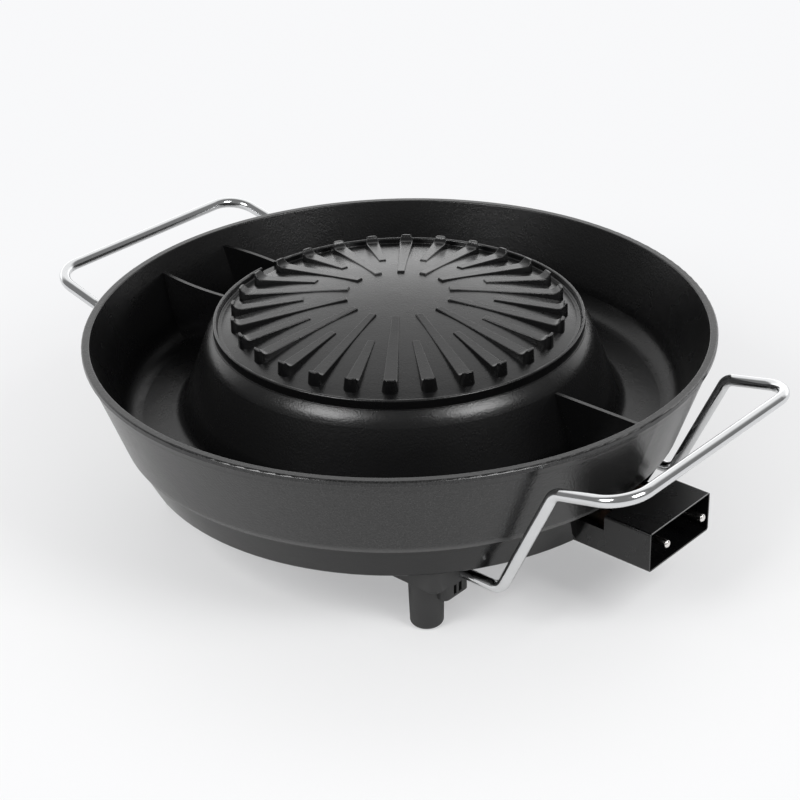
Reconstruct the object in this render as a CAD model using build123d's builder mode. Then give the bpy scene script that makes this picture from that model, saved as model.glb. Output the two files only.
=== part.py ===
from build123d import *
from math import atan2, cos, degrees, radians, sin, sqrt, tan
import os

# A table-top electric pan: a cast moat round a ribbed grill dome, on four moulded feet.
# Origin at the middle of the pan on the table, +Z up, +X through the connector and the right handle.

os.makedirs("parts", exist_ok=True)

# Fits shared by the pieces
overrun = 2.0
pick_slack = 0.01
slip_gap = 0.1
seat_gap = 0.3
thread_gap = 0.05

# Skirt ring of the casting: its foot's radius follows the rim below
skirt_foot_height = 42.9
skirt_depth = 22.5
skirt_step = 1.5
skirt_step_drop = 0.9
skirt_lean = 10.6
skirt_thickness = 3.4

# Rim and outer wall
rim_radius = 190.0
rim_width = 4.7
rim_lip_height = 3.4
rim_lip_step = 1.0
rim_edge_radius = 0.9
wall_lean = 18.0
wall_thickness = 4.3

# Moat between the wall and the dome
moat_width = 34.0
moat_depth = 52.0
floor_rise = 3.7
floor_thickness = 4.2
floor_wall_fillet = 14.0
floor_dome_fillet = 6.0
cast_fillet = 3.0
cast_edge_radius = 0.8
cast_edge_chamfer = 0.8
cast_fine_radius = 0.35

# Grill dome: a shallow ball-shaped plate on a steep wall with a rounded shoulder
dome_rise = 18.1
dome_ball_radius = 353.0
dome_thickness = 4.0
dome_wall_lean = 15.7
dome_wall_thickness = 4.2
shoulder_round_width = 5.7
shoulder_round_height = 8.2
shoulder_drop = 2.4
bead_inset = 0.8
bead_width = 2.2
bead_rise = 3.6
bead_round = 1.0
bead_draft = 0.5
gutter_width = 2.4

# Grill ribs: long and short ones by turns, each a low bar that sweeps up to a raised stop at its outer end
rib_pairs = 14
rib_long_start = 32.0
rib_short_start = 57.8
rib_end_gap = 11.4
rib_start_width = 4.2
rib_end_width = 8.2
rib_start_rise = 1.2
rib_end_rise = 4.5
rib_draft_angle = 10.0
rib_depth = 14.0
rib_stop_rise = 3.8
rib_stop_length = 6.2
rib_stop_crest = 1.7
rib_corner_radius = 2.2
rib_edge_radius = 0.5

# Drain notch in the bead, over the drip pocket
notch_width = 12.0

# Dividers cast in the moat
divider_drop = 10.0
divider_thickness = 2.4
divider_draft_angle = 1.0
pocket_wall_offset = 26.2
pocket_belly_gap = 28.3
pocket_belly_offset = 29.6
pocket_dome_offset = 26.4

# Heating tube in its ledge at the foot of the dome
tube_radius = 4.0
tube_ring_gap = 8.0
tube_drop = 14.3
tube_bend_radius = 12.0
tube_end_gap = 24.0
tube_bore_radius = 3.3
tube_bore_depth = 20.0
ledge_inner_wall = 4.5
ledge_outer_wall = 6.0

# Terminal pins and their ceramic bushes
pin_radius = 2.25
pin_root_radius = 1.8
pin_offset = 17.2
pin_stand = 4.3
pin_tip_radius = 1.2
bush_collar_radius = 5.0
bush_collar_length = 4.0
bush_nose_length = 9.0

# Probe sleeve between the pins, in its cast boss
sleeve_radius = 4.0
sleeve_wall = 0.8
sleeve_start_gap = 6.0
sleeve_end_inset = 25.9
sleeve_boss_width = 16.0
sleeve_boss_length = 12.0
sleeve_boss_wall = 2.5

# Connector shroud, folded from sheet
shroud_stand = 15.9
shroud_length = 30.9
shroud_width = 58.0
shroud_over_tube = 10.2
shroud_under_tube = 14.5
shroud_low_rise = 1.0
shroud_sheet = 0.9
shroud_fold_radius = 1.6
shroud_tail_lap = 2.0
shroud_seam = 0.4
ear_width = 12.0
ear_length = 22.0
ear_screw_reach = 9.0
ear_screw_inset = 6.6
ear_boss_radius = 4.5
terminal_plate_inset = 1.0
terminal_plate_sheet = 1.0
gate_gap = 1.9
gate_spread = 14.0

# Moulded feet on a ring under the skirt, and their parts from the middle of the column
foot_ring_inset = 17.9
foot_turn = 43.36
foot_radius = 9.6
foot_root_radius = 10.3
foot_edge_radius = 2.8
foot_spigot_radius = 9.0
foot_spigot_gap = 1.7
foot_boss_radius = 8.0
foot_bore_radius = 5.2
foot_screw_drop = 9.9
foot_screw_grip = 9.0
block_outer_reach = 16.1
block_inner_reach = 18.5
block_outer_side = 10.5
block_inner_side = 11.8
block_drop = 13.9
block_corner_radius = 6.0
block_small_radius = 2.5
block_edge_chamfer = 0.5
lug_outer_reach = 15.7
lug_inner_reach = 1.5
lug_outer_side = 1.7
lug_inner_side = 19.4
lug_drop = 23.3
lug_corner_radius = 4.0
lug_edge_chamfer = 0.8
lug_pocket_width = 2.4
lug_pocket_depth = 5.0
lug_pocket_height = 6.0
lug_pocket_margin = 2.4
lug_pocket_inset = 11.0
lug_pocket_pitch = 4.4

# Wire handles, from the feet, the rim and the skirt's foot
wire_radius = 3.5
wire_end_inset = 0.5
wire_side_inset = 13.6
wire_drop = 9.6
wire_low_inset = 44.7
wire_shoulder_inset = 10.0
wire_shoulder_drop = 14.9
wire_shoulder_narrowing = 1.2
wire_grip_stand = 35.8
wire_grip_drop = 4.7
wire_grip_narrowing = 2.0
wire_low_bend = 9.0
wire_shoulder_bend = 9.5
wire_grip_bend = 19.0
wire_end_chamfer = 0.6

# Screws and washers
screw_radius = 2.0
screw_head_radius = 3.6
screw_head_height = 2.4
screw_head_round = 0.9
screw_slot_width = 1.1
screw_slot_depth = 1.3
screw_hole_radius = 2.25
screw_thread_length = 8.0
washer_radius = 4.6
washer_height = 0.8
clamp_screw_reach = 7.5
clamp_screw_length = 5.4
clamp_key_width = 2.0
clamp_key_depth = 2.2

# Heat shield, its pillars and the clips on the tube
shield_inset = 3.0
shield_sheet = 0.8
shield_drop = 8.2
shield_dish_drop = 3.0
shield_dish_inset = 44.0
shield_dish_slope = 6.0
shield_notch_gap = 2.6
pillar_radius = 4.5
pillar_inset = 2.5
pillar_root = 19.3
shield_screw_turns = (60.0, 120.0, 240.0, 300.0)
clip_turns = (90.0, 180.0, 270.0)
clip_sheet = 1.2
clip_width = 10.0
clip_inner_reach = 7.7
clip_outer_reach = 18.5
clip_screw_reach = 13.5
clip_pad_radius = 4.6

# Heights worked out from the sizes above
skirt_top_height = skirt_foot_height + skirt_depth
wall_foot_height = skirt_top_height + skirt_step_drop
floor_height = wall_foot_height + floor_rise
floor_under = floor_height - floor_thickness
floor_middle = floor_height - floor_thickness / 2
rim_height = floor_height + moat_depth
wall_top_height = rim_height - rim_lip_height
divider_height = rim_height - divider_drop
dome_height = rim_height + dome_rise
shell_centre_height = dome_height - dome_ball_radius
tube_height = floor_height - tube_drop
shield_height = tube_height - shield_drop
pillar_foot = shield_height + shield_sheet
pillar_top = tube_height + pillar_root
shroud_top = tube_height + shroud_over_tube
shroud_bottom = tube_height - shroud_under_tube
shroud_low_top = tube_height + shroud_low_rise
block_top = skirt_foot_height - seat_gap
block_bottom = skirt_foot_height - block_drop
lug_bottom = skirt_foot_height - lug_drop
foot_screw_seat = skirt_foot_height - foot_screw_drop
foot_spigot_top = tube_height - foot_spigot_gap
wire_low_height = skirt_foot_height - wire_drop
wire_shoulder_height = rim_height - wire_shoulder_drop
wire_grip_height = rim_height - wire_grip_drop

# Radii of the casting and of what follows it, from the rim inwards
rim_inner_radius = rim_radius - rim_width
rim_middle_radius = rim_radius - rim_width / 2
wall_top_radius = rim_radius - rim_lip_step
wall_foot_radius = wall_top_radius - wall_lean
wall_slope = wall_lean / (wall_top_height - wall_foot_height)
wall_floor_radius = wall_foot_radius + wall_slope * floor_rise - wall_thickness
skirt_top_radius = wall_foot_radius - skirt_step
skirt_foot_radius = skirt_top_radius - skirt_lean
skirt_inner_foot_radius = skirt_foot_radius - skirt_thickness
skirt_slope = skirt_lean / skirt_depth
skirt_inner_top_radius = skirt_inner_foot_radius + skirt_slope * (floor_under - skirt_foot_height)
dome_foot_radius = wall_floor_radius - moat_width
shoulder_low_radius = dome_foot_radius - dome_wall_lean
shoulder_radius = shoulder_low_radius - shoulder_round_width
bead_outer_radius = shoulder_radius - bead_inset
bead_inner_radius = bead_outer_radius - bead_width
gutter_outer_radius = bead_inner_radius - bead_draft
gutter_inner_radius = gutter_outer_radius - gutter_width
rib_end = bead_outer_radius - rib_end_gap
pocket_belly_place = rim_inner_radius - pocket_belly_gap
tube_ring_radius = dome_foot_radius - tube_ring_gap
ledge_inner_radius = tube_ring_radius - tube_radius - ledge_inner_wall
ledge_outer_radius = tube_ring_radius + tube_radius + ledge_outer_wall
shield_radius = ledge_outer_radius - shield_inset
shield_dish_radius = ledge_outer_radius - shield_dish_inset
pillar_ring_radius = ledge_inner_radius - pillar_inset
clip_foot_inner = tube_ring_radius - clip_inner_reach
clip_foot_outer = tube_ring_radius + clip_outer_reach
clip_screw_ring = tube_ring_radius + clip_screw_reach

# Places along +X of the connector, and of the tube's ends
shroud_reach = rim_radius + shroud_stand
shroud_top_start = shroud_reach - shroud_length
shroud_tail = ledge_outer_radius - shroud_tail_lap
shroud_side = shroud_width / 2
gate_foot_side = shroud_side + gate_gap
gate_top_side = gate_foot_side + gate_spread
gate_lean = gate_spread / skirt_depth
ear_front = shroud_tail + ear_length
ear_screw_x = shroud_tail + ear_screw_reach
ear_screw_y = shroud_side + ear_screw_inset
plate_place = shroud_top_start + terminal_plate_inset
pin_reach = shroud_reach + pin_stand
sleeve_start = tube_ring_radius - sleeve_start_gap
sleeve_reach = shroud_reach - sleeve_end_inset
sleeve_boss_reach = ledge_outer_radius + sleeve_boss_length
tube_end_reach = rim_radius - tube_end_gap
bend_place_y = pin_offset + tube_bend_radius
bend_place_x = sqrt((tube_ring_radius + tube_bend_radius) ** 2 - bend_place_y**2)
bend_turn = degrees(atan2(bend_place_y, bend_place_x))

# Places of the feet and of the wire in them
foot_ring_radius = skirt_foot_radius - foot_ring_inset
foot_place_x = foot_ring_radius * cos(radians(foot_turn))
foot_place_y = foot_ring_radius * sin(radians(foot_turn))
block_middle_x = foot_place_x + (block_outer_reach - block_inner_reach) / 2
block_middle_y = foot_place_y + (block_outer_side - block_inner_side) / 2
lug_middle_x = foot_place_x + (lug_outer_reach - lug_inner_reach) / 2
lug_middle_y = foot_place_y + (lug_outer_side - lug_inner_side) / 2
lug_reach = foot_place_x + lug_outer_reach
block_reach = foot_place_x + block_outer_reach
lug_pocket_place = foot_place_y - lug_pocket_inset
clamp_screw_place = foot_place_x + clamp_screw_reach
wire_bore_radius = wire_radius + slip_gap
wire_end_place = foot_place_x - wire_end_inset
wire_low_offset = foot_place_y - wire_side_inset
wire_shoulder_offset = wire_low_offset - wire_shoulder_narrowing
wire_grip_offset = wire_low_offset - wire_grip_narrowing
wire_low_place = rim_radius - wire_low_inset
wire_shoulder_place = rim_radius - wire_shoulder_inset
wire_grip_place = rim_radius + wire_grip_stand
foot_places = [(x * foot_place_x, y * foot_place_y) for x in (1, -1) for y in (-1, 1)]
ear_screw_places = [(ear_screw_x, side * ear_screw_y) for side in (-1, 1)]


def shell_height(radius, drop=0.0):
    """Height, at a radius, of the plate's ball-shaped top or of the face that lies drop below it."""
    return shell_centre_height + sqrt((dome_ball_radius - drop) ** 2 - radius**2)


# Heights that follow the plate's edge and the rib tops
plate_edge_height = shell_height(gutter_inner_radius)
bead_height = plate_edge_height + bead_rise
shoulder_height = plate_edge_height - shoulder_drop
shoulder_low_height = shoulder_height - shoulder_round_height
rib_start_height = shell_height(rib_long_start) + rib_start_rise
rib_end_height = shell_height(rib_end) + rib_end_rise


def on_ring(radius, turn):
    """A point on a circle round the pan's axis, by its angle in degrees."""
    return (radius * cos(radians(turn)), radius * sin(radians(turn)))


def tube_bend(side):
    """Start, middle and end of the bend that takes the tube from its ring to the connector."""
    quarter_turn = 90
    bend_middle = quarter_turn + (quarter_turn - bend_turn) / 2
    across = tube_bend_radius * cos(radians(bend_middle))
    along = tube_bend_radius * sin(radians(bend_middle))
    ring_x, ring_y = on_ring(tube_ring_radius, bend_turn)
    return (
        (ring_x, side * ring_y),
        (bend_place_x + across, side * (bend_place_y - along)),
        (bend_place_x, side * pin_offset),
    )


def tube_middle():
    """Middle line of the whole heating tube: in from one end, round the ring and out again."""
    low_ring, low_middle, low_end = tube_bend(-1)
    high_ring, high_middle, high_end = tube_bend(1)
    with BuildLine(Plane.XY.offset(tube_height)) as middle:
        Line((tube_end_reach, -pin_offset), low_end)
        ThreePointArc(low_end, low_middle, low_ring)
        ThreePointArc(low_ring, (-tube_ring_radius, 0), high_ring)
        ThreePointArc(high_ring, high_middle, high_end)
        Line(high_end, (tube_end_reach, pin_offset))
    return middle.wires()[0]


def rib_solid(start):
    """One drafted rib on +X, from a start radius to the common end, with its stop at the outer end."""
    slope = (rib_end_height - rib_start_height) / (rib_end - rib_long_start)
    length = (rib_end - start) * sqrt(1 + slope**2)
    stop_draft = rib_stop_rise * tan(radians(rib_draft_angle))
    start_half = rib_start_width / 2 - stop_draft
    end_half = rib_end_width / 2 - stop_draft
    top_start = Vector(start, 0, rib_start_height + slope * (start - rib_long_start))
    side = Plane(origin=top_start, x_dir=(1, 0, slope), z_dir=(0, -1, 0))
    crest = Plane(origin=top_start + side.y_dir * rib_stop_rise, x_dir=side.x_dir, z_dir=-side.y_dir)
    with BuildPart() as rib:
        with BuildSketch(crest) as plan:
            with BuildLine():
                Polyline(
                    (0, -start_half),
                    (length, -end_half),
                    (length, end_half),
                    (0, start_half),
                    close=True,
                )
            make_face()
            outer_corners = plan.vertices().sort_by(Axis(crest.origin, crest.x_dir))[-2:]
            fillet(outer_corners, rib_corner_radius)
        extrude(amount=rib_depth, taper=-rib_draft_angle)
        # Room over the bar, and the sweep up to the stop
        with BuildSketch(side):
            with BuildLine():
                sweep_start = (length - rib_stop_length, 0)
                sweep_end = (length - rib_stop_crest, rib_stop_rise)
                Polyline(
                    sweep_end,
                    (length - rib_stop_crest, rib_stop_rise + overrun),
                    (-rib_depth, rib_stop_rise + overrun),
                    (-rib_depth, 0),
                    sweep_start,
                )
                TangentArc(sweep_start, sweep_end, tangent=(1, 0))
            make_face()
        extrude(amount=rib_end_width, both=True, mode=Mode.SUBTRACT)
        top_edges = rib.edges().filter_by(lambda edge: side.to_local_coords(edge.center()).Y > -pick_slack)
        fillet(top_edges, rib_edge_radius)
    return rib.part


long_rib = rib_solid(rib_long_start)
short_rib = rib_solid(rib_short_start)

# Ribs, trimmed to end inside the plate
with BuildPart() as ribs:
    with PolarLocations(0, rib_pairs):
        add(long_rib)
    with PolarLocations(0, rib_pairs, start_angle=180 / rib_pairs):
        add(short_rib)
    with BuildSketch(Plane.XZ):
        with BuildLine():
            plate_half = dome_thickness / 2
            ThreePointArc(
                (0, shell_height(0, plate_half)),
                (gutter_inner_radius / 2, shell_height(gutter_inner_radius / 2, plate_half)),
                (gutter_inner_radius, shell_height(gutter_inner_radius, plate_half)),
            )
            Polyline(
                (gutter_inner_radius, shell_height(gutter_inner_radius, plate_half)),
                (gutter_inner_radius, dome_height + overrun),
                (0, dome_height + overrun),
                (0, shell_height(0, plate_half)),
            )
        make_face()
    revolve(axis=Axis.Z, mode=Mode.INTERSECT)

# Dividers: one straight across the moat at +X, two bowed ones that close the drip pocket at -X
with BuildPart() as dividers:
    with BuildSketch(Plane(origin=(0, 0, divider_height), x_dir=(1, 0, 0), z_dir=(0, 0, -1))):
        with Locations(((shoulder_radius + rim_inner_radius) / 2, 0)):
            Rectangle(rim_inner_radius - shoulder_radius, divider_thickness)
        for side in (-1, 1):
            with BuildLine() as bow:
                ThreePointArc(
                    (-rim_inner_radius, side * pocket_wall_offset),
                    (-pocket_belly_place, side * pocket_belly_offset),
                    (-shoulder_radius, side * pocket_dome_offset),
                )
            trace(bow.line, line_width=divider_thickness)
    extrude(amount=divider_height - floor_middle, taper=-divider_draft_angle)
    with BuildSketch(Plane.XZ):
        with BuildLine():
            Polyline(
                (dome_foot_radius - dome_wall_thickness / 2, floor_middle),
                (wall_floor_radius + wall_thickness / 2, floor_middle),
                (wall_floor_radius + wall_thickness / 2, floor_height),
                (rim_middle_radius, rim_height),
                (shoulder_radius, rim_height),
                (shoulder_low_radius - dome_wall_thickness / 2, shoulder_low_height),
                close=True,
            )
        make_face()
    revolve(axis=Axis.Z, mode=Mode.INTERSECT)

# The casting
with BuildPart() as pan:
    with BuildSketch(Plane.XZ):
        with BuildLine():
            moat = FilletPolyline(
                (rim_middle_radius, rim_height),
                (rim_inner_radius, rim_height),
                (wall_floor_radius, floor_height),
                (dome_foot_radius, floor_height),
                (shoulder_low_radius, shoulder_low_height),
                radius=[rim_edge_radius, floor_wall_fillet, floor_dome_fillet],
            )
            shoulder = TangentArc(moat @ 1, (shoulder_radius, shoulder_height), tangent=moat % 1)
            bead = FilletPolyline(
                shoulder @ 1,
                (bead_outer_radius, shoulder_height),
                (bead_outer_radius, bead_height),
                (bead_inner_radius, bead_height),
                (gutter_outer_radius, plate_edge_height),
                (gutter_inner_radius, plate_edge_height),
                radius=[cast_fine_radius, bead_round, bead_round, cast_edge_radius],
            )
            plate_top = ThreePointArc(
                bead @ 1,
                (gutter_inner_radius / 2, shell_height(gutter_inner_radius / 2)),
                (0, dome_height),
            )
            Line(plate_top @ 1, (0, dome_height - dome_thickness))
            hollow_radius = shoulder_low_radius - dome_wall_thickness
            plate_under = ThreePointArc(
                (0, dome_height - dome_thickness),
                (hollow_radius / 2, shell_height(hollow_radius / 2, dome_thickness)),
                (hollow_radius, shell_height(hollow_radius, dome_thickness)),
            )
            FilletPolyline(
                plate_under @ 1,
                (ledge_inner_radius, tube_height),
                (ledge_outer_radius - cast_edge_chamfer, tube_height),
                (ledge_outer_radius, tube_height + cast_edge_chamfer),
                (ledge_outer_radius, floor_under),
                (skirt_inner_top_radius, floor_under),
                (skirt_inner_foot_radius, skirt_foot_height + cast_edge_chamfer),
                (skirt_inner_foot_radius + cast_edge_chamfer, skirt_foot_height),
                (skirt_foot_radius - cast_edge_chamfer, skirt_foot_height),
                (skirt_foot_radius, skirt_foot_height + cast_edge_chamfer),
                (skirt_top_radius, skirt_top_height),
                (wall_foot_radius, wall_foot_height),
                (wall_top_radius, wall_top_height),
                (rim_radius, wall_top_height),
                (rim_radius, rim_height),
                (rim_middle_radius, rim_height),
                radius=[
                    cast_edge_radius,
                    0,
                    0,
                    cast_fillet,
                    cast_fillet,
                    0,
                    0,
                    0,
                    0,
                    cast_fine_radius,
                    cast_fine_radius,
                    cast_fine_radius,
                    cast_fine_radius,
                    rim_edge_radius,
                ],
            )
        make_face()
    revolve(axis=Axis.Z)

    # Groove for the heating tube: a full ring, and an open pocket on each side where the tube leaves it
    groove_radius = tube_radius + seat_gap
    with Locations((0, 0, tube_height)):
        Torus(tube_ring_radius, groove_radius, mode=Mode.SUBTRACT)
    exit_start = tube_ring_radius - tube_radius
    exit_end = ledge_outer_radius + overrun
    exit_inner_side = sleeve_boss_width / 2 + cast_edge_radius
    exit_outer_side = bend_place_y + cast_edge_radius
    with BuildSketch(Plane.XY.offset(tube_height - overrun)):
        for side in (-1, 1):
            with Locations(((exit_start + exit_end) / 2, side * (exit_inner_side + exit_outer_side) / 2)):
                Rectangle(exit_end - exit_start, exit_outer_side - exit_inner_side)
    extrude(amount=overrun + groove_radius, mode=Mode.SUBTRACT)

    # Bosses under the floor: feet, shroud ears, clips, shield pillars and the probe sleeve
    with BuildSketch(Plane.XY.offset(foot_spigot_top)):
        with Locations(*foot_places):
            Circle(foot_boss_radius)
    extrude(amount=floor_middle - foot_spigot_top)
    with BuildSketch(Plane.XY.offset(shroud_low_top)):
        with Locations(*ear_screw_places):
            Circle(ear_boss_radius)
    extrude(amount=floor_middle - shroud_low_top)
    with BuildSketch(Plane.XY.offset(tube_height)):
        with Locations(*[on_ring(clip_screw_ring, turn) for turn in clip_turns]):
            Circle(clip_pad_radius)
    extrude(amount=floor_middle - tube_height)
    with BuildSketch(Plane.XY.offset(pillar_foot)):
        with Locations(*[on_ring(pillar_ring_radius, turn) for turn in shield_screw_turns]):
            Circle(pillar_radius)
    extrude(amount=pillar_top - pillar_foot)
    sleeve_boss_foot = tube_height - sleeve_radius - sleeve_boss_wall
    with BuildSketch(Plane.XY.offset(sleeve_boss_foot)):
        with Locations(((ledge_inner_radius + sleeve_boss_reach) / 2, 0)):
            Rectangle(sleeve_boss_reach - ledge_inner_radius, sleeve_boss_width)
    extrude(amount=floor_middle - sleeve_boss_foot)

    # Bore for the probe sleeve
    with BuildSketch(Plane.YZ.offset(sleeve_start - seat_gap)):
        with Locations((0, tube_height)):
            Circle(sleeve_radius + slip_gap)
    extrude(amount=sleeve_boss_reach + overrun - sleeve_start, mode=Mode.SUBTRACT)

    # Threaded holes
    with BuildSketch(Plane.XY.offset(foot_spigot_top)):
        with Locations(*foot_places):
            Circle(screw_radius + thread_gap)
    extrude(amount=foot_screw_grip, mode=Mode.SUBTRACT)
    with BuildSketch(Plane.XY.offset(shroud_low_top)):
        with Locations(*ear_screw_places):
            Circle(screw_radius + thread_gap)
    extrude(amount=screw_thread_length, mode=Mode.SUBTRACT)
    with BuildSketch(Plane.XY.offset(tube_height)):
        with Locations(*[on_ring(clip_screw_ring, turn) for turn in clip_turns]):
            Circle(screw_radius + thread_gap)
    extrude(amount=screw_thread_length, mode=Mode.SUBTRACT)
    with BuildSketch(Plane.XY.offset(pillar_foot)):
        with Locations(*[on_ring(pillar_ring_radius, turn) for turn in shield_screw_turns]):
            Circle(screw_radius + thread_gap)
    extrude(amount=screw_thread_length, mode=Mode.SUBTRACT)

    # Gate in the skirt ring for the connector, wider towards its top
    gate_under_side = gate_foot_side - gate_lean * overrun
    with BuildSketch(Plane.YZ.offset(sleeve_boss_reach)):
        with BuildLine():
            Polyline(
                (-gate_top_side, skirt_top_height),
                (-gate_under_side, skirt_foot_height - overrun),
                (gate_under_side, skirt_foot_height - overrun),
                (gate_top_side, skirt_top_height),
                close=True,
            )
        make_face()
    extrude(amount=wall_foot_radius + overrun - sleeve_boss_reach, mode=Mode.SUBTRACT)

    add(ribs.part)
    add(dividers.part)

    # Drain notch
    with BuildSketch(Plane.XY.offset(plate_edge_height)):
        with Locations((-(gutter_inner_radius + shoulder_low_radius) / 2, 0)):
            Rectangle(shoulder_low_radius - gutter_inner_radius, notch_width)
    extrude(amount=bead_height - shoulder_height + overrun, mode=Mode.SUBTRACT)
pan.part.label = "pan_body"
export_step(pan.part, "parts/pan_body.step")

# Wire handles
for side, name in ((1, "handle_right"), (-1, "handle_left")):
    with BuildPart() as handle:
        with BuildLine():
            wire_middle = FilletPolyline(
                (side * wire_end_place, -wire_low_offset, wire_low_height),
                (side * wire_low_place, -wire_low_offset, wire_low_height),
                (side * wire_shoulder_place, -wire_shoulder_offset, wire_shoulder_height),
                (side * wire_grip_place, -wire_grip_offset, wire_grip_height),
                (side * wire_grip_place, wire_grip_offset, wire_grip_height),
                (side * wire_shoulder_place, wire_shoulder_offset, wire_shoulder_height),
                (side * wire_low_place, wire_low_offset, wire_low_height),
                (side * wire_end_place, wire_low_offset, wire_low_height),
                radius=[
                    wire_low_bend,
                    wire_shoulder_bend,
                    wire_grip_bend,
                    wire_grip_bend,
                    wire_shoulder_bend,
                    wire_low_bend,
                ],
            )
        with BuildSketch(Plane(origin=wire_middle @ 0, z_dir=wire_middle % 0)):
            Circle(wire_radius)
        sweep(path=wire_middle)
        chamfer(handle.faces().filter_by(GeomType.PLANE).edges(), wire_end_chamfer)
    handle.part.label = name
    export_step(handle.part, f"parts/{name}.step")

# Moulded feet, one at each corner, each a mirror image of its neighbours
foot_names = ("leg_front_right", "leg_back_right", "leg_front_left", "leg_back_left")
for name, (place_x, place_y) in zip(foot_names, foot_places):
    side_x = place_x / foot_place_x
    side_y = place_y / foot_place_y
    with BuildPart() as foot:
        # Block under the skirt ring, with a rounded outer corner
        with BuildSketch(Plane.XY.offset(block_bottom)) as block_plan:
            with Locations((side_x * block_middle_x, side_y * block_middle_y)):
                Rectangle(block_outer_reach + block_inner_reach, block_outer_side + block_inner_side)
            outwards = Axis((0, 0, 0), (side_x, side_y, 0))
            fillet(block_plan.vertices().sort_by(outwards)[-1], block_corner_radius)
            fillet(block_plan.vertices().sort_by(outwards)[0], block_small_radius)
        extrude(amount=block_top - block_bottom)
        chamfer(foot.faces().sort_by(Axis.Z)[0].edges(), block_edge_chamfer)
        # Clamp body for the wire's end, with two moulding pockets in its outer face
        with BuildSketch(Plane.XY.offset(lug_bottom)):
            with Locations((side_x * lug_middle_x, side_y * lug_middle_y)):
                RectangleRounded(
                    lug_outer_reach + lug_inner_reach, lug_outer_side + lug_inner_side, lug_corner_radius
                )
        extrude(amount=block_top - lug_bottom)
        chamfer(foot.faces().sort_by(Axis.Z)[0].edges(), lug_edge_chamfer)
        with BuildSketch(Plane.YZ.offset(side_x * (lug_reach - lug_pocket_depth))):
            for pocket in (0, 1):
                pocket_y = side_y * (lug_pocket_place + pocket * lug_pocket_pitch)
                with Locations((pocket_y, lug_bottom + lug_pocket_margin)):
                    Rectangle(lug_pocket_width, lug_pocket_height, align=(Align.CENTER, Align.MIN))
        extrude(amount=side_x * (lug_pocket_depth + overrun), mode=Mode.SUBTRACT)
        # Column, spigot and the holes up the middle
        column_plane = Plane(origin=(place_x, place_y, 0), x_dir=(1, 0, 0), z_dir=(0, -1, 0))
        with BuildSketch(column_plane):
            with BuildLine():
                FilletPolyline(
                    (0, 0),
                    (foot_radius, 0),
                    (foot_root_radius, block_bottom),
                    radius=foot_edge_radius,
                )
                Polyline(
                    (foot_root_radius, block_bottom),
                    (foot_root_radius, block_bottom + overrun),
                    (0, block_bottom + overrun),
                    (0, 0),
                )
            make_face()
        revolve(axis=Axis((place_x, place_y, 0), (0, 0, 1)))
        with BuildSketch(Plane.XY.offset(block_top)):
            with Locations((place_x, place_y)):
                Circle(foot_spigot_radius)
        extrude(amount=foot_spigot_top - block_top)
        with BuildSketch():
            with Locations((place_x, place_y)):
                Circle(foot_bore_radius)
        extrude(amount=foot_screw_seat, mode=Mode.SUBTRACT)
        with BuildSketch(Plane.XY.offset(foot_screw_seat)):
            with Locations((place_x, place_y)):
                Circle(screw_hole_radius)
        extrude(amount=foot_spigot_top - foot_screw_seat, mode=Mode.SUBTRACT)
        # Blind hole for the wire's end and the clamp screw's hole below it
        with BuildSketch(Plane.YZ.offset(side_x * (wire_end_place - seat_gap))):
            with Locations((side_y * wire_low_offset, wire_low_height)):
                Circle(wire_bore_radius)
        extrude(amount=side_x * (block_reach + overrun - wire_end_place), mode=Mode.SUBTRACT)
        with BuildSketch(Plane.XY.offset(lug_bottom)):
            with Locations((side_x * clamp_screw_place, side_y * wire_low_offset)):
                Circle(screw_radius + thread_gap)
        extrude(amount=wire_low_height - lug_bottom, mode=Mode.SUBTRACT)
    foot.part.label = name
    export_step(foot.part, f"parts/{name}.step")

# Heating element: a tube with a bored end on each side for its terminal
tube_path = tube_middle()
with BuildPart() as element:
    with BuildSketch(Plane(origin=tube_path @ 0, z_dir=tube_path % 0)):
        Circle(tube_radius)
    sweep(path=tube_path)
    with BuildSketch(Plane.YZ.offset(tube_end_reach)):
        with Locations((-pin_offset, tube_height), (pin_offset, tube_height)):
            Circle(tube_bore_radius)
    extrude(amount=-tube_bore_depth, mode=Mode.SUBTRACT)
element.part.label = "heating_element"
export_step(element.part, "parts/heating_element.step")

# Terminal pins, each with a thinner root in a ceramic bush in the end of the tube
pin_start = tube_end_reach - tube_bore_depth + seat_gap
bush_nose = tube_end_reach + bush_collar_length + bush_nose_length
for side, name in ((-1, "front"), (1, "back")):
    with BuildPart() as pin:
        with BuildSketch(Plane.YZ.offset(pin_start)):
            with Locations((side * pin_offset, tube_height)):
                Circle(pin_root_radius)
        extrude(amount=bush_nose - pin_start)
        with BuildSketch(Plane.YZ.offset(bush_nose)):
            with Locations((side * pin_offset, tube_height)):
                Circle(pin_radius)
        extrude(amount=pin_reach - bush_nose)
        fillet(pin.faces().sort_by(Axis.X)[-1].edges(), pin_tip_radius)
    pin.part.label = f"terminal_pin_{name}"
    export_step(pin.part, f"parts/terminal_pin_{name}.step")

    with BuildPart() as bush:
        with BuildSketch(Plane.YZ.offset(pin_start)):
            with Locations((side * pin_offset, tube_height)):
                Circle(tube_bore_radius - slip_gap)
        extrude(amount=bush_nose - pin_start)
        with BuildSketch(Plane.YZ.offset(tube_end_reach)):
            with Locations((side * pin_offset, tube_height)):
                Circle(bush_collar_radius)
        extrude(amount=bush_collar_length)
        with BuildSketch(Plane.YZ.offset(pin_start)):
            with Locations((side * pin_offset, tube_height)):
                Circle(pin_root_radius + thread_gap)
        extrude(amount=bush_nose - pin_start, mode=Mode.SUBTRACT)
    bush.part.label = f"terminal_insulator_{name}"
    export_step(bush.part, f"parts/terminal_insulator_{name}.step")

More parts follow.
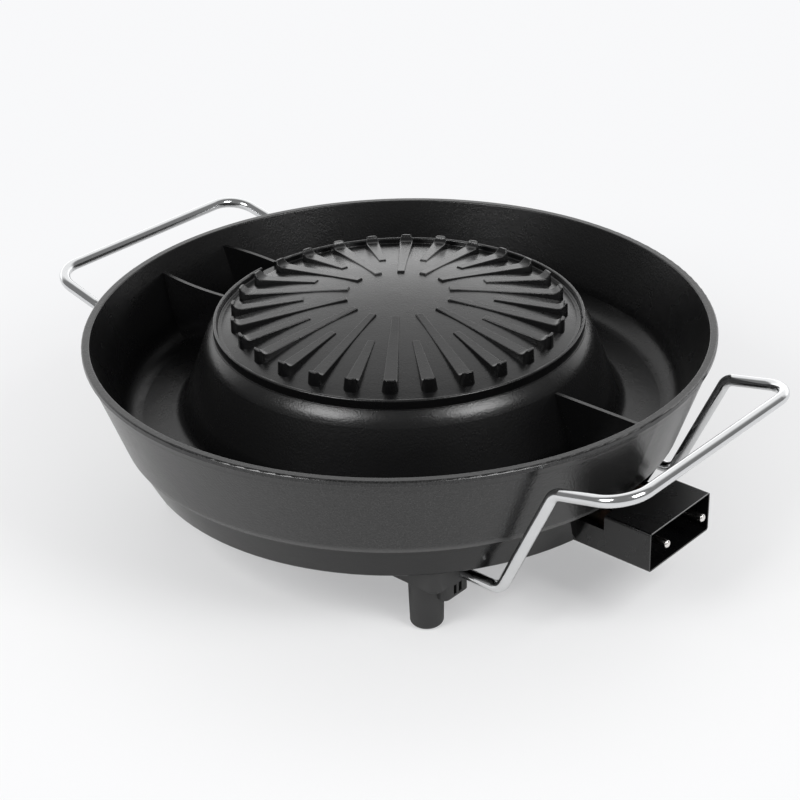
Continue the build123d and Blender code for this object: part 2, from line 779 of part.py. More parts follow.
# Probe sleeve, closed at its inner end
with BuildPart() as sleeve:
    with BuildSketch(Plane.YZ.offset(sleeve_start)):
        with Locations((0, tube_height)):
            Circle(sleeve_radius)
    extrude(amount=sleeve_reach - sleeve_start)
    with BuildSketch(Plane.YZ.offset(sleeve_start + sleeve_wall)):
        with Locations((0, tube_height)):
            Circle(sleeve_radius - sleeve_wall)
    extrude(amount=sleeve_reach - sleeve_start, mode=Mode.SUBTRACT)
sleeve.part.label = "probe_sleeve"
export_step(sleeve.part, "parts/probe_sleeve.step")

# Connector shroud: a folded box, open outwards, with a low channel and two screwed ears inside the skirt
shroud_middle = (shroud_top + shroud_bottom) / 2
shroud_depth = shroud_top - shroud_bottom
with BuildPart() as shroud:
    with BuildSketch(Plane.YZ.offset(shroud_tail)):
        with Locations((0, shroud_middle)):
            RectangleRounded(shroud_width, shroud_depth, shroud_fold_radius)
            RectangleRounded(
                shroud_width - 2 * shroud_sheet,
                shroud_depth - 2 * shroud_sheet,
                shroud_fold_radius - shroud_sheet,
                mode=Mode.SUBTRACT,
            )
    extrude(amount=shroud_reach - shroud_tail)
    with BuildSketch(Plane.YZ.offset(shroud_tail)):
        with Locations((0, shroud_low_top)):
            Rectangle(shroud_width, shroud_depth, align=(Align.CENTER, Align.MIN))
    extrude(amount=shroud_top_start - shroud_tail, mode=Mode.SUBTRACT)
    with BuildSketch(Plane.XY.offset(shroud_low_top)):
        for side in (-1, 1):
            ear_middle = side * (shroud_side + (ear_width - shroud_sheet) / 2)
            with Locations(((shroud_tail + ear_front) / 2, ear_middle)):
                Rectangle(ear_length, ear_width + shroud_sheet)
    extrude(amount=-shroud_sheet)
    # Gussets under the ears' front edges, inside the gate's leaning sides
    gusset_reach = shroud_side + gate_lean * (shroud_low_top - skirt_foot_height)
    with BuildSketch(Plane.YZ.offset(ear_front - shroud_sheet)):
        for side in (-1, 1):
            with BuildLine():
                Polyline(
                    (side * (shroud_side - shroud_sheet), skirt_foot_height),
                    (side * shroud_side, skirt_foot_height),
                    (side * gusset_reach, shroud_low_top),
                    (side * (shroud_side - shroud_sheet), shroud_low_top),
                    close=True,
                )
            make_face()
    extrude(amount=shroud_sheet)
    with BuildSketch(Plane.XY.offset(shroud_low_top)):
        with Locations(*ear_screw_places):
            Circle(screw_hole_radius)
    extrude(amount=-shroud_sheet, mode=Mode.SUBTRACT)
    seam_place = shroud_sheet + shroud_seam / 2 - shroud_side
    with BuildSketch(Plane.XY.offset(shroud_top)):
        with Locations(((shroud_reach + shroud_top_start) / 2, seam_place)):
            Rectangle(shroud_reach - shroud_top_start, shroud_seam)
    extrude(amount=-shroud_fold_radius, mode=Mode.SUBTRACT)
shroud.part.label = "connector_shroud"
export_step(shroud.part, "parts/connector_shroud.step")

# Terminal plate across the shroud, carrying the bushes and the sleeve
with BuildPart() as terminal_plate:
    with BuildSketch(Plane.YZ.offset(plate_place)):
        plate_margin = 2 * (shroud_sheet + slip_gap)
        with Locations((0, shroud_middle)):
            RectangleRounded(
                shroud_width - plate_margin,
                shroud_depth - plate_margin,
                shroud_fold_radius - shroud_sheet,
            )
        with Locations((-pin_offset, tube_height), (pin_offset, tube_height)):
            Circle(tube_bore_radius, mode=Mode.SUBTRACT)
        with Locations((0, tube_height)):
            Circle(sleeve_radius + slip_gap, mode=Mode.SUBTRACT)
    extrude(amount=terminal_plate_sheet)
terminal_plate.part.label = "terminal_plate"
export_step(terminal_plate.part, "parts/terminal_plate.step")

# Heat shield: a shallow dish under the tube with a notch round each foot
shield_top = shield_height + shield_sheet
with BuildPart() as shield:
    with BuildSketch(Plane.XZ):
        with BuildLine():
            Polyline(
                (0, shield_height - shield_dish_drop),
                (shield_dish_radius, shield_height - shield_dish_drop),
                (shield_dish_radius + shield_dish_slope, shield_height),
                (shield_radius, shield_height),
                (shield_radius, shield_top),
                (shield_dish_radius + shield_dish_slope, shield_top),
                (shield_dish_radius, shield_top - shield_dish_drop),
                (0, shield_top - shield_dish_drop),
                close=True,
            )
        make_face()
    revolve(axis=Axis.Z)
    with BuildSketch(Plane.XY.offset(shield_height - shield_dish_drop)):
        with Locations(*foot_places):
            Circle(foot_spigot_radius + shield_notch_gap)
        with Locations(*[on_ring(pillar_ring_radius, turn) for turn in shield_screw_turns]):
            Circle(screw_hole_radius)
    extrude(amount=shield_dish_drop + shield_sheet, mode=Mode.SUBTRACT)
shield.part.label = "heat_shield"
export_step(shield.part, "parts/heat_shield.step")

# Clips that hold the tube up in its groove
with BuildPart() as clips:
    for turn in clip_turns:
        radial = (cos(radians(turn)), sin(radians(turn)), 0)
        sideways = (sin(radians(turn)), -cos(radians(turn)), 0)
        hoop_radius = tube_radius + seat_gap
        with BuildSketch(Plane(origin=(0, 0, 0), x_dir=radial, z_dir=sideways)):
            with Locations((tube_ring_radius, tube_height)):
                Circle(hoop_radius + clip_sheet)
            with Locations(((clip_foot_inner + clip_foot_outer) / 2, tube_height)):
                Rectangle(clip_foot_outer - clip_foot_inner, clip_sheet, align=(Align.CENTER, Align.MAX))
            with Locations((tube_ring_radius, tube_height)):
                Circle(hoop_radius, mode=Mode.SUBTRACT)
                Rectangle(
                    clip_foot_outer,
                    tube_height,
                    align=(Align.CENTER, Align.MIN),
                    mode=Mode.SUBTRACT,
                )
        extrude(amount=clip_width / 2, both=True)
    with BuildSketch(Plane.XY.offset(tube_height)):
        with Locations(*[on_ring(clip_screw_ring, turn) for turn in clip_turns]):
            Circle(screw_hole_radius)
    extrude(amount=-clip_sheet, mode=Mode.SUBTRACT)
clips.part.label = "element_clips"
export_step(clips.part, "parts/element_clips.step")


def screw_set(places, seat, reach):
    """Slotted cheese-head screws that point up, with the heads' upper faces at the seat."""
    with BuildPart() as screws:
        with BuildSketch(Plane.XY.offset(seat)):
            with Locations(*places):
                Circle(screw_head_radius)
        extrude(amount=-screw_head_height)
        fillet(screws.faces().group_by(Axis.Z)[0].edges(), screw_head_round)
        with BuildSketch(Plane.XY.offset(seat)):
            with Locations(*places):
                Circle(screw_radius)
        extrude(amount=reach - seat)
        with BuildSketch(Plane.XY.offset(seat - screw_head_height)):
            with Locations(*places):
                Rectangle(2 * screw_head_radius, screw_slot_width)
        extrude(amount=screw_slot_depth, mode=Mode.SUBTRACT)
    return screws.part


def washer_set(places, seat):
    """Flat washers whose upper faces lie at the seat."""
    with BuildPart() as washers:
        with BuildSketch(Plane.XY.offset(seat)):
            with Locations(*places):
                Circle(washer_radius)
                Circle(screw_hole_radius, mode=Mode.SUBTRACT)
        extrude(amount=-washer_height)
    return washers.part


pillar_places = [on_ring(pillar_ring_radius, turn) for turn in shield_screw_turns]
clip_screw_places = [on_ring(clip_screw_ring, turn) for turn in clip_turns]
ear_under = shroud_low_top - shroud_sheet
thread_end = screw_thread_length - seat_gap
fasteners = {
    "leg_screws": screw_set(
        foot_places, foot_screw_seat - washer_height, foot_spigot_top + foot_screw_grip - seat_gap
    ),
    "leg_washers": washer_set(foot_places, foot_screw_seat),
    "shroud_screws": screw_set(ear_screw_places, ear_under - washer_height, shroud_low_top + thread_end),
    "shroud_washers": washer_set(ear_screw_places, ear_under),
    "heat_shield_screws": screw_set(pillar_places, shield_height, pillar_foot + thread_end),
    "element_clip_screws": screw_set(
        clip_screw_places, tube_height - clip_sheet, tube_height + thread_end
    ),
}
for name, pieces in fasteners.items():
    pieces.label = name
    export_step(pieces, f"parts/{name}.step")

# Headless clamp screws, one under the end of each wire run
with BuildPart() as clamp_screws:
    clamp_top = wire_low_height - wire_radius - seat_gap
    clamp_places = [(x * clamp_screw_place, y * wire_low_offset) for x in (1, -1) for y in (-1, 1)]
    with BuildSketch(Plane.XY.offset(clamp_top)):
        with Locations(*clamp_places):
            Circle(screw_radius)
    extrude(amount=-clamp_screw_length)
    with BuildSketch(Plane.XY.offset(clamp_top - clamp_screw_length)):
        with Locations(*clamp_places):
            RegularPolygon(clamp_key_width / 2, 6, major_radius=False)
    extrude(amount=clamp_key_depth, mode=Mode.SUBTRACT)
clamp_screws.part.label = "handle_clamp_screws"
export_step(clamp_screws.part, "parts/handle_clamp_screws.step")
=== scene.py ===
"""Finishes and studio for a table-top electric grill pan, laid out as an add-on and run as a script."""

import math

import bmesh
import bpy
from bpy.props import FloatProperty, FloatVectorProperty, PointerProperty
from bpy.types import Operator, Panel, PropertyGroup
from mathutils import Matrix, Vector


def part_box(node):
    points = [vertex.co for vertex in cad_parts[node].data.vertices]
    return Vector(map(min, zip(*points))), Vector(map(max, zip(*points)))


bl_info = {
    "name": "Electric Grill Pan",
    "version": (1, 0, 0),
    "blender": (4, 5, 0),
    "location": "3D View > Sidebar > Grill Pan",
    "description": "Finishes the pieces of an electric grill pan and sets up a plain studio round them",
    "category": "Object",
}

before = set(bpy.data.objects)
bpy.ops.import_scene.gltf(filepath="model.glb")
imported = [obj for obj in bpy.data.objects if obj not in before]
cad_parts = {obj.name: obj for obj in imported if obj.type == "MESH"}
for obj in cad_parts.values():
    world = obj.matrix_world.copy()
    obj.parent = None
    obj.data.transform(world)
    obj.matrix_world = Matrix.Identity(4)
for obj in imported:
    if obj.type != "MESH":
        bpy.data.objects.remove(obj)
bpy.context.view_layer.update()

MM = 0.001
SENSOR_WIDTH = 36.0

# How strongly a clear surface mirrors, as an index of refraction
COAT_IOR = 1.5
DULL_COAT_IOR = 1.34
RESIN_IOR = 1.55

shroud_low, shroud_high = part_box("connector_shroud")


class Signal:
    """A value inside a material. Arithmetic on it adds Math nodes."""

    def __init__(self, finish, socket):
        self.finish = finish
        self.socket = socket

    def maths(self, operation, *values):
        """The result of one Math node on up to three values."""
        inputs = dict(enumerate(values))
        return self.finish.node("ShaderNodeMath", {"operation": operation}, inputs)

    def __add__(self, other):
        return self.maths("ADD", self, other)

    def __sub__(self, other):
        return self.maths("SUBTRACT", self, other)

    def __rsub__(self, other):
        return self.maths("SUBTRACT", other, self)

    def __mul__(self, other):
        return self.maths("MULTIPLY", self, other)

    __radd__ = __add__
    __rmul__ = __mul__

    def step_up(self, low, high):
        """0 below low and 1 above high, with a smooth rise between them."""
        settings = {"interpolation_type": "SMOOTHSTEP"}
        inputs = {"Value": self, "From Min": low, "From Max": high, "To Min": 0.0, "To Max": 1.0}
        return self.finish.node("ShaderNodeMapRange", settings, inputs)

    def larger(self, other):
        """The larger of this value and another."""
        return self.maths("MAXIMUM", self, other)

    def root(self):
        """The square root."""
        return self.maths("SQRT", self)


class Finish:
    """The node tree of a procedural material or of the room round the pan."""

    def __init__(self, owner, coordinates="Object"):
        self.owner = owner
        owner.use_nodes = True
        self.tree = owner.node_tree
        self.tree.nodes.clear()
        self.place = self.node("ShaderNodeTexCoord", output=coordinates)

    @classmethod
    def of_material(cls, name):
        """The node tree of a new material."""
        return cls(bpy.data.materials.new(name))

    def node(self, kind, settings=None, inputs=None, output=0):
        """One node with its settings made first, then its inputs set or linked."""
        node = self.tree.nodes.new(kind)
        for name, value in (settings or {}).items():
            setattr(node, name, value)
        for key, value in (inputs or {}).items():
            if isinstance(value, Signal):
                self.tree.links.new(value.socket, node.inputs[key])
            else:
                node.inputs[key].default_value = value
        return Signal(self, node.outputs[output]) if node.outputs else None

    def axes(self):
        """The place or direction along X, Y and Z."""
        return [self.node("ShaderNodeSeparateXYZ", None, {0: self.place}, axis) for axis in "XYZ"]

    def seen(self, ray):
        """1 for the named kind of ray and 0 for any other."""
        return self.node("ShaderNodeLightPath", output=f"Is {ray} Ray")

    def noise(self, size, detail=2.0, roughness=0.5, stretch=None):
        """Soft noise from 0 to 1 whose lumps are about size across, in metres."""
        place = self.place
        if stretch is not None:
            place = self.node("ShaderNodeMapping", {"vector_type": "POINT"}, {"Vector": place, "Scale": stretch})
        inputs = {"Vector": place, "Scale": 1 / size, "Detail": detail, "Roughness": roughness}
        return self.node("ShaderNodeTexNoise", None, inputs)

    def cells(self, size):
        """Distance to the nearest point of a cell pattern, in cell sizes."""
        return self.node("ShaderNodeTexVoronoi", {"feature": "F1"}, {"Vector": self.place, "Scale": 1 / size})

    def blend(self, factor, first, second):
        """Colour that goes from first to second with the factor."""
        inputs = {0: factor, 6: first, 7: second}
        return self.node("ShaderNodeMix", {"data_type": "RGBA"}, inputs, 2)

    def bump(self, height, depth, strength=1.0, normal=None):
        """Normals of a surface whose height, from 0 to 1, is depth metres."""
        inputs = {"Height": height, "Distance": depth, "Strength": strength}
        if normal is not None:
            inputs["Normal"] = normal
        return self.node("ShaderNodeBump", None, inputs)

    def shader(self, **inputs):
        """A Principled shader, with its sockets named as Python words."""
        sockets = {name.replace("_", " ").title().replace("Ior", "IOR"): value for name, value in inputs.items()}
        return self.node("ShaderNodeBsdfPrincipled", None, sockets)

    def mixed(self, factor, first, second):
        """Shader that goes from first to second with the factor."""
        return self.node("ShaderNodeMixShader", None, {0: factor, 1: first, 2: second})

    def end(self, shader):
        """Joins the shader to the material's output and returns the material."""
        self.node("ShaderNodeOutputMaterial", None, {"Surface": shader})
        return self.owner

    def surface(self, **inputs):
        """Ends the material with one Principled shader."""
        return self.end(self.shader(**inputs))


def grey(value, warmth=0.0):
    """A nearly neutral colour."""
    return (value * (1 + warmth), value, value * (1 - warmth), 1.0)


def opaque(colour):
    """A colour with full alpha."""
    return (*colour, 1.0)


def nonstick_casting(settings):
    """Cast aluminium under black non-stick: satin inside, with a fine powder grain outside."""
    finish = Finish.of_material("nonstick_casting")
    x, y, z = finish.axes()
    foot = settings.wall_foot_height
    lip_foot = settings.lip_height
    basin_top = settings.basin_height

    # The outer wall leans outwards from its foot to the lip
    radius = (x * x + y * y).root()
    wall_line = settings.wall_foot + (z - foot) * settings.wall_slope
    outside = (radius - wall_line).step_up(-1.5 * MM, -0.6 * MM)
    under = 1 - z.step_up(foot - 0.9 * MM, foot - 0.1 * MM)
    wall = outside * (1 - under)
    lip = outside * z.step_up(lip_foot - 1 * MM, lip_foot + 1 * MM)
    basin = (1 - outside) * (1 - z.step_up(basin_top - 4 * MM, basin_top))

    grain = finish.noise(size=1.0 * MM, detail=3.0, roughness=0.65)
    speckle = finish.cells(size=1.4 * MM)
    cast = finish.noise(size=9 * MM, detail=3.0)
    smears = finish.noise(size=40 * MM, detail=4.0, roughness=0.6)
    powder = (grain * 0.6 + (1 - speckle) * 0.4) * (0.5 + 0.35 * wall - 0.35 * under - 0.6 * lip)
    relief = finish.bump(powder, depth=0.22 * MM)
    relief = finish.bump(cast, depth=0.3 * MM, strength=0.3, normal=relief)
    roughness = 0.25 + 0.05 * smears - wall * 0.06 - under * 0.08

    # The coat is greyer on the wall's grain. A lighter band along the wall's sharp foot is a painted highlight that
    # stands in for the glint of a rounded edge, on a coat a little rubbed there
    powder_tone = grey(0.024)
    foot_highlight_tone = grey(0.06)
    foot_highlight_and_wear = outside * (
        z.step_up(foot - 0.7 * MM, foot - 0.2 * MM) - z.step_up(foot + 0.5 * MM, foot + 4.5 * MM)
    )
    tone = finish.blend(wall * grain.step_up(0.3, 0.7), opaque(settings.coating), powder_tone)
    # Paints the highlight of the wall's sharp foot into the base colour
    tone = finish.blend(foot_highlight_and_wear, tone, foot_highlight_tone)

    # The skirt ring has only a thin first coat and the moat's floor is dulled by use: both shine less
    look = {"base_color": tone, "roughness": roughness, "normal": relief}
    coat = finish.shader(ior=COAT_IOR, **look)
    dull = finish.shader(ior=DULL_COAT_IOR, **look)
    return finish.end(finish.mixed(under.larger(basin * 0.9), coat, dull))


def chromed_wire():
    """Bright chrome over drawn wire, with the faintest draw marks."""
    finish = Finish.of_material("chromed_wire")
    haze = finish.noise(size=14 * MM, detail=3.0)
    marks = finish.noise(size=2.2 * MM)
    return finish.surface(
        base_color=finish.blend(haze, grey(0.62, -0.01), grey(0.72, -0.01)),
        metallic=1.0,
        roughness=0.1 + 0.06 * haze,
        normal=finish.bump(marks, depth=0.012 * MM, strength=0.5),
    )


def phenolic(settings):
    """Dull black moulded resin with a faint grain."""
    finish = Finish.of_material("phenolic")
    grain = finish.noise(size=0.7 * MM, detail=3.0, roughness=0.6)
    clouds = finish.noise(size=12 * MM, detail=3.0)
    return finish.surface(
        base_color=finish.blend(clouds, opaque(settings.resin), grey(0.02)),
        roughness=0.42 + 0.1 * clouds + 0.06 * grain,
        ior=RESIN_IOR,
        normal=finish.bump(grain, depth=0.05 * MM, strength=0.7),
    )


def black_sheet(settings):
    """Black enamel on folded sheet, worn to bare metal on two cut edges of the mouth."""
    finish = Finish.of_material("black_sheet")
    x, y, z = finish.axes()
    wear = finish.noise(size=3 * MM)
    mouth = (x + 0.1 * MM * wear).step_up(shroud_high.x - 0.25 * MM, shroud_high.x - 0.1 * MM)
    top = z.step_up(shroud_high.z - 0.6 * MM, shroud_high.z - 0.3 * MM)
    side = 1 - y.step_up(shroud_low.y + 0.25 * MM, shroud_low.y + 0.5 * MM)
    bare = mouth * top.larger(side)
    haze = finish.noise(size=10 * MM, detail=3.0)
    grain = finish.noise(size=0.6 * MM)
    return finish.surface(
        base_color=finish.blend(bare, opaque(settings.enamel), grey(0.3)),
        metallic=bare,
        roughness=0.24 + 0.08 * haze + 0.04 * bare,
        normal=finish.bump(grain, depth=0.02 * MM, strength=0.5),
    )


def nickel_pin():
    """Polished nickel plate with turned rings round the pin."""
    finish = Finish.of_material("nickel_pin")
    rings = finish.noise(size=0.5 * MM, detail=1.0, stretch=(1.0, 0.02, 0.02))
    haze = finish.noise(size=3 * MM)
    return finish.surface(
        base_color=finish.blend(haze, grey(0.68, 0.03), grey(0.78, 0.03)),
        metallic=1.0,
        roughness=0.14 + 0.08 * haze,
        normal=finish.bump(rings, depth=0.01 * MM, strength=0.5),
    )


def heater_sheath():
    """Steel sheath under a dark heat oxide, browner in some patches and bluer in others."""
    finish = Finish.of_material("heater_sheath")
    clouds = finish.noise(size=22 * MM, detail=3.0)
    grain = finish.noise(size=0.8 * MM)
    return finish.surface(
        base_color=finish.blend(clouds.step_up(0.35, 0.6), (0.1, 0.085, 0.07, 1.0), (0.07, 0.07, 0.08, 1.0)),
        metallic=1.0,
        roughness=0.42 + 0.1 * grain,
        normal=finish.bump(grain, depth=0.03 * MM, strength=0.5),
    )


def ceramic_bush():
    """Dark brown glazed porcelain."""
    finish = Finish.of_material("ceramic_bush")
    grain = finish.noise(size=0.5 * MM, detail=3.0, roughness=0.6)
    clouds = finish.noise(size=4 * MM)
    return finish.surface(
        base_color=finish.blend(clouds, (0.012, 0.007, 0.005, 1.0), (0.022, 0.013, 0.009, 1.0)),
        roughness=0.25 + 0.1 * grain,
        normal=finish.bump(grain, depth=0.04 * MM, strength=0.6),
    )


def satin_metal(name, base, roughness, grain_size, stretch=(1.0, 1.0, 1.0), warmth=0.0):
    """Plain metal with rolled grain and soft clouds."""
    finish = Finish.of_material(name)
    grain = finish.noise(grain_size, detail=3.0, roughness=0.6, stretch=stretch)
    clouds = finish.noise(size=18 * MM, detail=3.0)
    return finish.surface(
        base_color=finish.blend(clouds, grey(base * 0.88, warmth), grey(base, warmth)),
        metallic=1.0,
        roughness=roughness + 0.1 * grain + 0.05 * clouds,
        normal=finish.bump(grain, depth=0.02 * MM, strength=0.6),
    )


def bare_steel():
    """Bare sheet, rolled along X."""
    return satin_metal("bare_steel", base=0.56, roughness=0.28, grain_size=1.5 * MM, stretch=(0.06, 1.0, 1.0))


def aluminised_sheet():
    """Dull coated sheet, rolled along X."""
    return satin_metal("aluminised_sheet", base=0.62, roughness=0.36, grain_size=2.5 * MM, stretch=(0.1, 1.0, 1.0))


def zinc_fastener():
    """Zinc plate on screws and washers."""
    return satin_metal("zinc_fastener", base=0.6, roughness=0.26, grain_size=0.8 * MM, warmth=0.015)


def dress(finish, *nodes):
    """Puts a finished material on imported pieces."""
    for node in nodes:
        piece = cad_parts[node]
        piece.data.materials.clear()
        piece.data.materials.append(finish)


class PanFinishes(PropertyGroup):
    """Colours and sizes of the pan's finishes."""

    coating: FloatVectorProperty(
        name="Coating", description="Non-stick inside the pan", default=(0.003, 0.003, 0.0032), subtype="COLOR"
    )
    resin: FloatVectorProperty(
        name="Resin", description="Moulded feet", default=(0.013, 0.013, 0.0135), subtype="COLOR"
    )
    enamel: FloatVectorProperty(
        name="Enamel", description="Connector box", default=(0.002, 0.002, 0.0022), subtype="COLOR"
    )
    wall_foot: FloatProperty(
        name="Wall foot", description="Radius of the outer wall's foot", default=0.171, unit="LENGTH"
    )
    wall_foot_height: FloatProperty(
        name="Wall foot height", description="Height of the outer wall's foot", default=0.0663, unit="LENGTH"
    )
    wall_slope: FloatProperty(
        name="Wall lean", description="Growth of the wall's radius with height", default=0.3442
    )
    basin_height: FloatProperty(
        name="Basin height", description="Height below which the moat is dull", default=0.086, unit="LENGTH"
    )
    lip_height: FloatProperty(
        name="Lip height", description="Height at which the smoother lip starts", default=0.1145, unit="LENGTH"
    )


class StudioSettings(PropertyGroup):
    """The studio round the pan."""

    floor_tone: FloatProperty(
        name="Floor", description="Brightness of the pale floor", default=0.84, min=0.0, max=1.0
    )
    floor_reach: FloatProperty(
        name="Floor reach", description="From the pan to each edge of the floor", default=6.0, unit="LENGTH"
    )
    pale_tone: FloatVectorProperty(
        name="Pale tone", description="Far floor and backdrop, as the camera sees them",
        default=(0.94, 0.943, 0.955), subtype="COLOR",
    )
    pale_share: FloatProperty(
        name="Pale share", description="Share of the pale tone in the floor at the pan", default=0.38, min=0.0, max=1.0
    )
    pale_start: FloatProperty(
        name="Pale start", description="Distance at which the floor starts to pale", default=0.14, unit="LENGTH"
    )
    pale_end: FloatProperty(
        name="Pale end", description="Distance at which the floor is all pale", default=0.5, unit="LENGTH"
    )
    lamp_power: FloatProperty(
        name="Lamp power", description="Power of each of the two soft lamps", default=8.4, unit="POWER"
    )
    lamp_size: FloatProperty(
        name="Lamp size", description="Width and height of each soft lamp", default=0.5, unit="LENGTH"
    )
    lamp_distance: FloatProperty(
        name="Lamp distance", description="From the pan to each soft lamp", default=1.3, unit="LENGTH"
    )
    lamp_spread: FloatProperty(
        name="Lamp spread", description="Turn of each lamp away from the camera's heading",
        default=math.radians(47), unit="ROTATION",
    )
    lamp_height: FloatProperty(
        name="Lamp height", description="Height angle of each lamp", default=math.radians(43), unit="ROTATION"
    )
    lamp_aim: FloatProperty(
        name="Lamp aim", description="Height that the lamps face", default=0.1, unit="LENGTH"
    )
    room_level: FloatProperty(
        name="Room light", description="Brightness of the dim room", default=0.24, min=0.0
    )
    backdrop_level: FloatProperty(
        name="Backdrop light", description="What the lit backdrop adds to the room", default=0.96, min=0.0
    )
    low_glow: FloatProperty(
        name="Low glow", description="What the foot of the backdrop adds to its light", default=0.5, min=0.0
    )
    camera_place: FloatVectorProperty(
        name="Camera", description="Place of the camera", default=(0.7041, -0.7788, 0.6366), subtype="TRANSLATION"
    )
    lens: FloatProperty(name="Lens", description="Focal length in millimetres", default=87.37, min=1.0)
    heading: FloatProperty(
        name="Heading", description="Turn of the camera to its left", default=math.radians(42.16), unit="ROTATION"
    )
    tilt: FloatProperty(
        name="Tilt", description="How far the camera looks down", default=math.radians(28.48), unit="ROTATION"
    )
    roll: FloatProperty(
        name="Roll", description="Turn of the camera about its view", default=math.radians(-1.61), unit="ROTATION"
    )


class GRILLPAN_OT_casting(Operator):
    """Finish the cast pan"""

    bl_idname = "grillpan.casting"
    bl_label = "Casting"

    def execute(self, context):
        dress(nonstick_casting(context.scene.pan_finishes), "pan_body")
        return {"FINISHED"}


class GRILLPAN_OT_handles(Operator):
    """Finish the two wire handles"""

    bl_idname = "grillpan.handles"
    bl_label = "Handles"

    def execute(self, context):
        dress(chromed_wire(), "handle_right", "handle_left")
        return {"FINISHED"}


class GRILLPAN_OT_feet(Operator):
    """Finish the four moulded feet"""

    bl_idname = "grillpan.feet"
    bl_label = "Feet"

    def execute(self, context):
        resin = phenolic(context.scene.pan_finishes)
        dress(resin, *[f"leg_{row}_{side}" for row in ("front", "back") for side in ("left", "right")])
        return {"FINISHED"}


class GRILLPAN_OT_connector(Operator):
    """Finish the connector box, its pins and their bushes"""

    bl_idname = "grillpan.connector"
    bl_label = "Connector"

    def execute(self, context):
        dress(black_sheet(context.scene.pan_finishes), "connector_shroud")
        dress(nickel_pin(), "terminal_pin_front", "terminal_pin_back")
        dress(ceramic_bush(), "terminal_insulator_front", "terminal_insulator_back")
        return {"FINISHED"}


class GRILLPAN_OT_underside(Operator):
    """Finish the heating tube, the shield, and the small steel parts below and behind the connector box"""

    bl_idname = "grillpan.underside"
    bl_label = "Underside"

    def execute(self, context):
        dress(heater_sheath(), "heating_element")
        dress(aluminised_sheet(), "heat_shield")
        dress(bare_steel(), "terminal_plate", "probe_sleeve", "element_clips")
        dress(
            zinc_fastener(),
            "heat_shield_screws",
            "leg_screws",
            "leg_washers",
            "handle_clamp_screws",
            "shroud_screws",
            "shroud_washers",
            "element_clip_screws",
        )
        return {"FINISHED"}


def area_lamp(place, target, size, power):
    """A soft square lamp that faces the target."""
    lamp = bpy.data.lights.new("softbox", "AREA")
    lamp.shape = "SQUARE"
    lamp.size = size
    lamp.energy = power
    stand = bpy.data.objects.new("softbox", lamp)
    bpy.context.scene.collection.objects.link(stand)
    stand.location = place
    stand.rotation_euler = (Vector(target) - Vector(place)).to_track_quat("-Z", "Y").to_euler()


def floor_finish(studio):
    """Matt pale floor that fades to an even pale tone far from the pan."""
    finish = Finish.of_material("studio_floor")
    x, y, z = finish.axes()
    distance = (x * x + y * y).root()
    far = distance.step_up(studio.pale_start, studio.pale_end)
    # Polished faces mirror the floor's true shade under the pan
    seen_fade = studio.pale_share + (1 - studio.pale_share) * far
    fade = seen_fade * finish.seen("Camera") + far * finish.seen("Glossy")
    paper = finish.noise(size=5 * MM, detail=3.0)
    relief = finish.bump(paper, depth=0.03 * MM, strength=0.3)
    card = finish.shader(base_color=grey(studio.floor_tone), roughness=0.7, normal=relief)
    pale = finish.node("ShaderNodeEmission", None, {"Color": opaque(studio.pale_tone), "Strength": 1.0})
    return finish.end(finish.mixed(fade, card, pale))


def room_light(studio):
    """Dim room with a lit backdrop behind the pan, brightest low down, and an even pale tone to the camera."""
    room = Finish(bpy.data.worlds.new("studio_room"), "Generated")
    x, y, z = room.axes()
    away = y * math.cos(studio.heading) - x * math.sin(studio.heading)
    behind = away.step_up(0.25, 0.6)
    low = 1 - z.step_up(0.2, 0.5)
    strength = studio.room_level + behind * (studio.backdrop_level + studio.low_glow * low)
    soft = room.node("ShaderNodeBackground", None, {"Color": grey(1.0), "Strength": strength})
    pale = room.node("ShaderNodeBackground", None, {"Color": opaque(studio.pale_tone)})
    room.node("ShaderNodeOutputWorld", None, {0: room.mixed(room.seen("Camera"), soft, pale)})
    return room.owner


def lay_floor(studio):
    """A wide flat floor under the pan, left out of the pan's own pieces."""
    mesh = bpy.data.meshes.new("studio_floor")
    plate = bmesh.new()
    bmesh.ops.create_grid(plate, x_segments=1, y_segments=1, size=studio.floor_reach)
    plate.to_mesh(mesh)
    plate.free()
    floor = bpy.data.objects.new("studio_floor", mesh)
    bpy.context.scene.collection.objects.link(floor)
    mesh.materials.append(floor_finish(studio))


def hang_lamps(studio):
    """Two soft lamps in front of the pan, one to each side of the camera."""
    reach = studio.lamp_distance * math.cos(studio.lamp_height)
    rise = studio.lamp_distance * math.sin(studio.lamp_height)
    for side in (-1, 1):
        bearing = studio.heading + side * studio.lamp_spread
        place = (reach * math.sin(bearing), -reach * math.cos(bearing), rise)
        area_lamp(place, (0, 0, studio.lamp_aim), studio.lamp_size, studio.lamp_power)


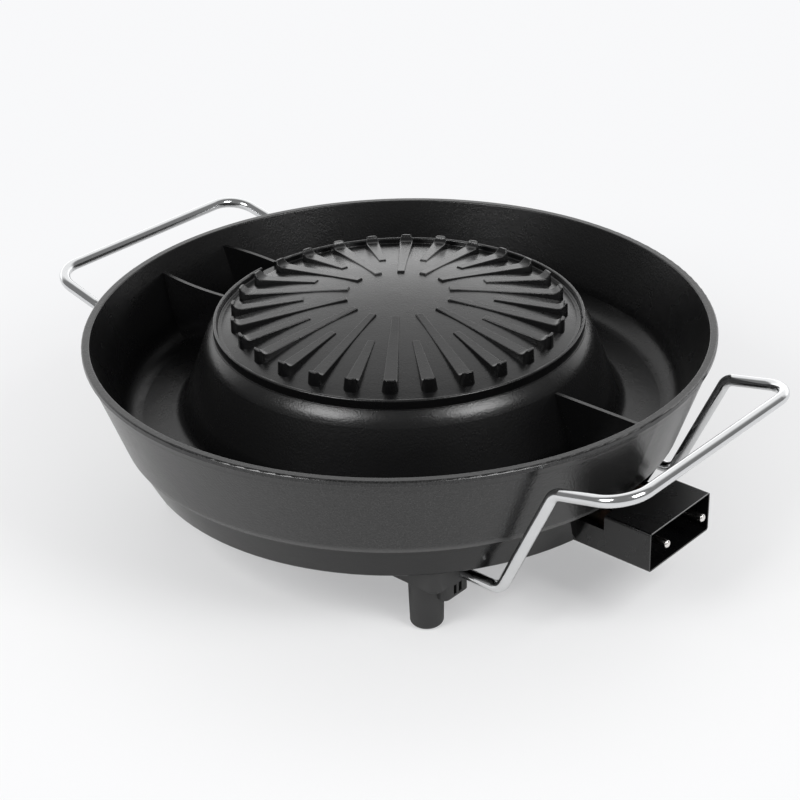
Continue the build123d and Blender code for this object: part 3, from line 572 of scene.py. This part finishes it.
def stand_camera(studio):
    """The camera at the photograph's angle."""
    eye = bpy.data.cameras.new("photo_camera")
    eye.lens = studio.lens
    eye.sensor_width = SENSOR_WIDTH
    eye.sensor_fit = "HORIZONTAL"
    camera = bpy.data.objects.new("photo_camera", eye)
    bpy.context.scene.collection.objects.link(camera)
    turn = (
        Matrix.Rotation(studio.heading, 4, "Z")
        @ Matrix.Rotation(math.pi / 2 - studio.tilt, 4, "X")
        @ Matrix.Rotation(studio.roll, 4, "Z")
    )
    camera.matrix_world = Matrix.Translation(studio.camera_place) @ turn
    bpy.context.scene.camera = camera


class GRILLPAN_OT_studio(Operator):
    """Set up the floor, the lamps, the room light and the camera"""

    bl_idname = "grillpan.studio"
    bl_label = "Studio"

    def execute(self, context):
        studio = context.scene.pan_studio
        lay_floor(studio)
        hang_lamps(studio)
        context.scene.world = room_light(studio)
        stand_camera(studio)
        context.scene.view_settings.view_transform = "Standard"
        return {"FINISHED"}


class GRILLPAN_PT_panel(Panel):
    """Lists the pan's pieces and the studio"""

    bl_idname = "GRILLPAN_PT_panel"
    bl_label = "Grill Pan"
    bl_space_type = "VIEW_3D"
    bl_region_type = "UI"
    bl_category = "Grill Pan"

    def draw(self, context):
        for operator in OPERATORS:
            self.layout.operator(operator.bl_idname)
        for settings in (context.scene.pan_finishes, context.scene.pan_studio):
            column = self.layout.column()
            for name in settings.__annotations__:
                column.prop(settings, name)


OPERATORS = (
    GRILLPAN_OT_casting,
    GRILLPAN_OT_handles,
    GRILLPAN_OT_feet,
    GRILLPAN_OT_connector,
    GRILLPAN_OT_underside,
    GRILLPAN_OT_studio,
)
CLASSES = (PanFinishes, StudioSettings, *OPERATORS, GRILLPAN_PT_panel)


def register():
    for kind in CLASSES:
        bpy.utils.register_class(kind)
    bpy.types.Scene.pan_finishes = PointerProperty(type=PanFinishes)
    bpy.types.Scene.pan_studio = PointerProperty(type=StudioSettings)


def unregister():
    del bpy.types.Scene.pan_studio
    del bpy.types.Scene.pan_finishes
    for kind in reversed(CLASSES):
        bpy.utils.unregister_class(kind)


def main():
    register()
    bpy.ops.grillpan.casting()
    bpy.ops.grillpan.handles()
    bpy.ops.grillpan.feet()
    bpy.ops.grillpan.connector()
    bpy.ops.grillpan.underside()
    bpy.ops.grillpan.studio()


if __name__ == "__main__":
    main()
